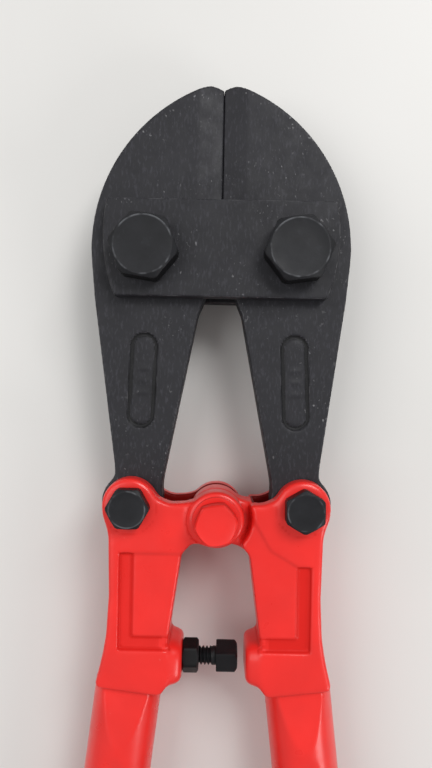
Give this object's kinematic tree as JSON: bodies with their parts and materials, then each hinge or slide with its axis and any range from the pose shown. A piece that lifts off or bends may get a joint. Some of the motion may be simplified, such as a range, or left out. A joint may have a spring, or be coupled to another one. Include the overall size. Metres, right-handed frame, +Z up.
{
  "type": "bolt cutters",
  "caption": "Hand bolt cutters: forged jaws between side plates, cast handle heads on a centre bolt, a stop screw, tubular handles and moulded grips.",
  "frame": {"origin": "on the centre pivot's axis, in the plane that the tool lies on", "axes": "+Y towards the jaw tips, +Z up out of the resting plane, +X to the right of the tool"},
  "size_m": [0.1188, 0.35, 0.031],
  "materials": {
    "jaw_black": "satin black oxide with fine scratches",
    "plate_black": "satin black oxide",
    "bolt_black": "black oxide, brighter at the chamfers",
    "screw_black": "black oxide",
    "cast_red": "glossy red enamel over a cast surface",
    "tube_red": "glossy red enamel over smooth tube",
    "grip_black": "matt moulded vinyl"
  },
  "bodies": {
    "head": {"front_plate": "plate_black", "back_plate": "plate_black", "left_jaw_bolt": "bolt_black", "right_jaw_bolt": "bolt_black", "left_jaw_nut": "bolt_black", "right_jaw_nut": "bolt_black", "jaw_washers": "bolt_black"},
    "left_jaw": {"left_jaw": "jaw_black"},
    "right_jaw": {"right_jaw": "jaw_black"},
    "centre": {"centre_bolt": "cast_red", "centre_washer": "cast_red", "centre_nut": "cast_red"},
    "left_handle": {"left_handle_head": "cast_red", "left_tube": "tube_red", "left_grip": "grip_black", "left_tail_bolt": "bolt_black", "left_tail_nut": "bolt_black", "left_tail_washer": "bolt_black", "stop_lock_nut": "screw_black"},
    "right_handle": {"right_handle_head": "cast_red", "right_tube": "tube_red", "right_grip": "grip_black", "right_tail_bolt": "bolt_black", "right_tail_nut": "bolt_black", "right_tail_washer": "bolt_black"},
    "stop_screw": {"stop_screw": "screw_black"}
  },
  "joints": [
    {"name": "left_handle_swing", "type": "hinge", "parent": "centre", "child": "left_handle", "pos_m": [0, 0, 0.015], "axis": [0, 0, -1], "range_deg": [-0.3, 45]},
    {"name": "right_handle_swing", "type": "hinge", "parent": "centre", "child": "right_handle", "pos_m": [0, 0, 0.015], "axis": [0, 0, 1], "range_deg": [-0.31, 45.01]},
    {"name": "centre_slide", "type": "slide", "parent": "head", "child": "centre", "axis": [0, -1, 0], "range_m": [-0.00012, 0.0158]},
    {"name": "left_jaw_swing", "type": "hinge", "parent": "head", "child": "left_jaw", "pos_m": [-0.0199, 0.07022, 0.015], "axis": [0, 0, 1], "range_deg": [-0.05, 6.67]},
    {"name": "right_jaw_swing", "type": "hinge", "parent": "head", "child": "right_jaw", "pos_m": [0.0199, 0.07022, 0.015], "axis": [0, 0, -1], "range_deg": [-0.05, 6.67]},
    {"name": "stop_screw_travel", "type": "slide", "parent": "left_handle", "child": "stop_screw", "axis": [1, 0, 0], "range_m": [-0.004, 0]}
  ],
  "couplings": [
    {"joint": "right_handle_swing", "follows": "left_handle_swing", "ratio": 1},
    {"joint": "centre_slide", "follows": "left_handle_swing", "m_per_rad": 0.02007},
    {"joint": "left_jaw_swing", "follows": "left_handle_swing", "ratio": 0.148},
    {"joint": "right_jaw_swing", "follows": "left_handle_swing", "ratio": 0.148}
  ]
}
